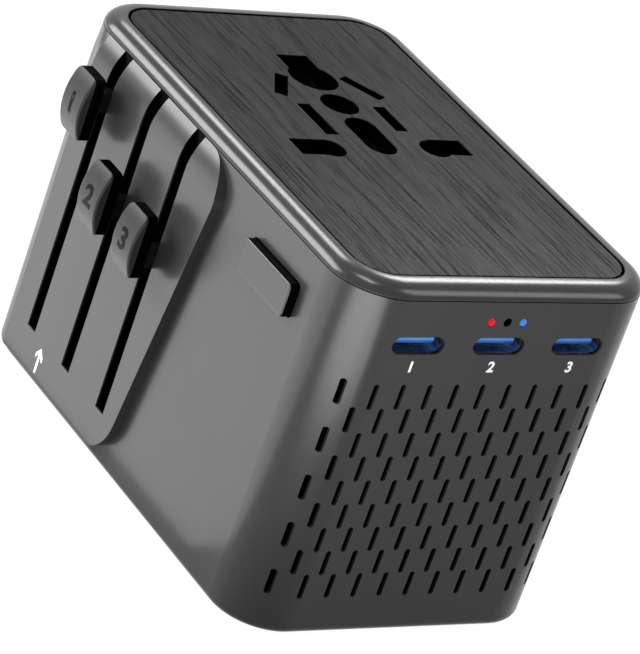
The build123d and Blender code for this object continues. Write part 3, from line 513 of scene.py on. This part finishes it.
def word(text, size, depth):
    """Mesh of a numeral, centred, flat in XY and raised along Z."""
    curve = bpy.data.curves.new("mark", "FONT")
    curve.body = text
    curve.size = size
    curve.extrude = depth
    curve.offset = 0.03 * size
    curve.align_x = "CENTER"
    curve.align_y = "CENTER"
    curve.resolution_u = 6
    temp = bpy.data.objects.new("mark", curve)
    bpy.context.scene.collection.objects.link(temp)
    bpy.context.view_layer.update()
    mesh = bpy.data.meshes.new_from_object(temp.evaluated_get(bpy.context.evaluated_depsgraph_get()))
    bpy.data.objects.remove(temp)
    bm = bmesh.new()
    bm.from_mesh(mesh)
    bmesh.ops.remove_doubles(bm, verts=bm.verts, dist=1e-7)
    bpy.data.meshes.remove(mesh)
    return bm


def place(bm, right, up, out, origin):
    """Turn a flat mark to three axes and set it at a point."""
    matrix = Matrix((right, up, out)).transposed().to_4x4()
    matrix.translation = Vector(origin)
    bm.transform(matrix)


numeral_z = 43.2 * MM
for number, x in enumerate(PORT_X):
    bm = word(str(number + 1), 2.3 * MM, 0.02 * MM)
    place(bm, (1, 0, 0), (0, 0, 1), (0, -1, 0), (x * MM, front_y - ink_stand, numeral_z))
    piece(f"port_numeral_{number + 1}", bm, "case_plastic", "case", False, glowing_ink_mat)

# the knobs' numerals follow the crown of the knob's end
crown = 1.3 * MM
for number, key in enumerate(("eu", "uk", "us")):
    low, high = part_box(key + "_knob")
    middle = (low + high) / 2
    half = (high.z - low.z) / 2
    bm = word(str(number + 1), 4.4 * MM, 0.05 * MM)
    bmesh.ops.subdivide_edges(bm, edges=bm.edges, cuts=2)
    place(bm, (0, -1, 0), (0, 0, 1), (-1, 0, 0), (low.x, middle.y, middle.z))
    for v in bm.verts:
        v.co.x += crown * ((v.co.z - middle.z) / half) ** 2 * 0.98
    piece(f"knob_numeral_{number + 1}", bm, "knob_plastic", key + "_slider", False, dark_mat)

# arrow at the slots' foot: outline in mm, as a thin plate
arrow = bmesh.new()
outline = [(-0.22, -2.0), (0.22, -2.0), (0.22, 1.0), (1.0, 0.1), (1.0, 0.85), (0.0, 2.0),
           (-1.0, 0.85), (-1.0, 0.1), (-0.22, 1.0)]
for depth in (0.02, -0.02):
    for a, b in outline:
        arrow.verts.new((a * MM, b * MM, depth * MM))
arrow.verts.ensure_lookup_table()
count = len(outline)
arrow.faces.new([arrow.verts[i] for i in range(count)])
arrow.faces.new([arrow.verts[count + i] for i in reversed(range(count))])
for i in range(count):
    n = (i + 1) % count
    arrow.faces.new((arrow.verts[i], arrow.verts[n], arrow.verts[count + n], arrow.verts[count + i]))
pad_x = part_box("main_case")[0].x
place(arrow, (0, -1, 0), (0, 0, 1), (-1, 0, 0), (pad_x - ink_stand, 21.6 * MM, 5.2 * MM))
piece("push_arrow", arrow, "case_plastic", "case", False, glowing_ink_mat)

# contact pads on both sides of the receptacle tongues
pad_count, pad_pitch, pad_size, pad_inset = 12, 0.5 * MM, (0.25 * MM, 3.4 * MM, 0.04 * MM), 2.2 * MM
low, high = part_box("port_tongues")
for number, x in enumerate(PORT_X):
    bm = bmesh.new()
    for k in range(pad_count):
        offset = (k - (pad_count - 1) / 2) * pad_pitch
        for face_z in (high.z, low.z):
            made = bmesh.ops.create_cube(bm, size=1.0)["verts"]
            bmesh.ops.scale(bm, verts=made, vec=pad_size)
            bmesh.ops.translate(bm, verts=made, vec=(x * MM + offset, low.y + pad_inset, face_z))
    piece(f"tongue_pads_{number + 1}", bm, "contact_brass", "case", False)


def stage_plane(name, corners, mat):
    """Flat piece of the stage."""
    mesh = bpy.data.meshes.new(name)
    mesh.from_pydata(corners, [], [(0, 1, 2, 3)])
    mesh.materials.append(mat)
    obj = bpy.data.objects.new(name, mesh)
    bpy.context.scene.collection.objects.link(obj)
    return obj


def seen_directly(tree):
    """1 for camera, glossy and transmission rays, which meet the white background."""
    path = tree.nodes.new("ShaderNodeLightPath")
    both = calc(tree, "MAXIMUM", path.outputs["Is Camera Ray"], path.outputs["Is Glossy Ray"])
    return calc(tree, "MAXIMUM", both, path.outputs["Is Transmission Ray"])


def floor_material():
    """Grey floor that takes the shadow, glows white where it is seen, and is clear from below."""
    mat = bpy.data.materials.new("floor")
    mat.use_nodes = True
    tree = mat.node_tree
    tree.nodes.clear()
    out = tree.nodes.new("ShaderNodeOutputMaterial")
    diffuse = tree.nodes.new("ShaderNodeBsdfDiffuse")
    diffuse.inputs["Color"].default_value = (0.12, 0.12, 0.12, 1)
    glow = tree.nodes.new("ShaderNodeEmission")
    glow.inputs["Color"].default_value = (1, 1, 1, 1)
    tree.links.new(calc(tree, "MULTIPLY", seen_directly(tree), 0.97), glow.inputs["Strength"])
    add = tree.nodes.new("ShaderNodeAddShader")
    tree.links.new(diffuse.outputs[0], add.inputs[0])
    tree.links.new(glow.outputs[0], add.inputs[1])
    sides = tree.nodes.new("ShaderNodeNewGeometry")
    clear = tree.nodes.new("ShaderNodeBsdfTransparent")
    mix = tree.nodes.new("ShaderNodeMixShader")
    tree.links.new(sides.outputs["Backfacing"], mix.inputs[0])
    tree.links.new(add.outputs[0], mix.inputs[1])
    tree.links.new(clear.outputs[0], mix.inputs[2])
    tree.links.new(mix.outputs[0], out.inputs["Surface"])
    return mat


# the floor lies a hair under the pin face
reach, floor_z = 3.0, -0.0002
floor_corners = [(x * reach, y * reach, floor_z) for x, y in ((-1, -1), (1, -1), (1, 1), (-1, 1))]
stage_plane("floor", floor_corners, floor_material())

world = bpy.data.worlds.new("studio")
bpy.context.scene.world = world
world.use_nodes = True
wt = world.node_tree
wt.nodes.clear()
w_out = wt.nodes.new("ShaderNodeOutputWorld")
w_bg = wt.nodes.new("ShaderNodeBackground")
w_bg.inputs["Color"].default_value = (1, 1, 1, 1)
w_range = wt.nodes.new("ShaderNodeMapRange")
w_range.inputs["To Min"].default_value = 0.05
w_range.inputs["To Max"].default_value = 1.0
wt.links.new(seen_directly(wt), w_range.inputs["Value"])
wt.links.new(w_range.outputs["Result"], w_bg.inputs["Strength"])
wt.links.new(w_bg.outputs[0], w_out.inputs["Surface"])


def softbox(name, place_at, aim, size, power):
    """White area lamp at a point, turned to its aim."""
    light = bpy.data.lights.new(name, "AREA")
    light.shape = "RECTANGLE"
    light.size, light.size_y = size
    light.energy = power
    obj = bpy.data.objects.new(name, light)
    obj.location = place_at
    obj.rotation_mode = "QUATERNION"
    obj.rotation_quaternion = (Vector(aim) - Vector(place_at)).to_track_quat("-Z", "Y")
    bpy.context.scene.collection.objects.link(obj)
    return obj


middle = (0.0, 0.0, 0.03)
# key for the left wall, strips for the bezel's bright bands and its front left corner, card for the front
softbox("key", (-0.68, 0.66, 0.47), middle, (0.85, 0.52), 20.0)
softbox("back_left_strip", (0.21, 0.7, 0.7), middle, (0.2, 0.2), 2.1)
softbox("back_right_strip", (0.57, 0.48, 0.69), middle, (0.22, 0.22), 3.2)
softbox("corner_spot", (-0.22, -0.06, 1.0), middle, (0.34, 0.24), 4.0)
softbox("front_card", (0.57, -0.46, 0.7), middle, (0.3, 0.62), 3.4)
# two lamps on the floor that face up, for what the upright walls mirror
low_side = softbox("low_side", (-0.22, 0.19, 0.001), (-0.22, 0.19, 1.0), (0.382, 0.42), 1.0)
low_front = softbox("low_front", (-0.13, -0.17, 0.001), (-0.13, -0.17, 1.0), (0.2, 0.12), 0.75)
low_side.rotation_quaternion = (0.0, 1.0, 0.0, 0.0)
turn = Matrix.Rotation(math.radians(51.0), 3, "Z").to_quaternion()
low_front.rotation_quaternion = turn @ low_side.rotation_quaternion
for light in (low_side, low_front):
    light.visible_camera = False

# camera solved from the photograph: axes, place, lens and shift
camera = bpy.data.cameras.new("camera")
camera.sensor_width = 36.0
camera.lens = 233.63
camera.shift_x = -0.00116
camera.shift_y = 0.00099
camera.clip_start, camera.clip_end = 0.05, 20.0
cam = bpy.data.objects.new("camera", camera)
right = Vector((0.8215, -0.4816, 0.3053))
down = Vector((0.0062, -0.5278, -0.8493))
forward = Vector((0.5702, 0.6996, -0.4306))
pose = Matrix((right, -down, -forward)).transposed().to_4x4()
pose.translation = Vector((-0.34377, -0.42524, 0.28622))
cam.matrix_world = pose
bpy.context.scene.collection.objects.link(cam)
bpy.context.scene.camera = cam
bpy.context.scene.view_settings.view_transform = "Standard"
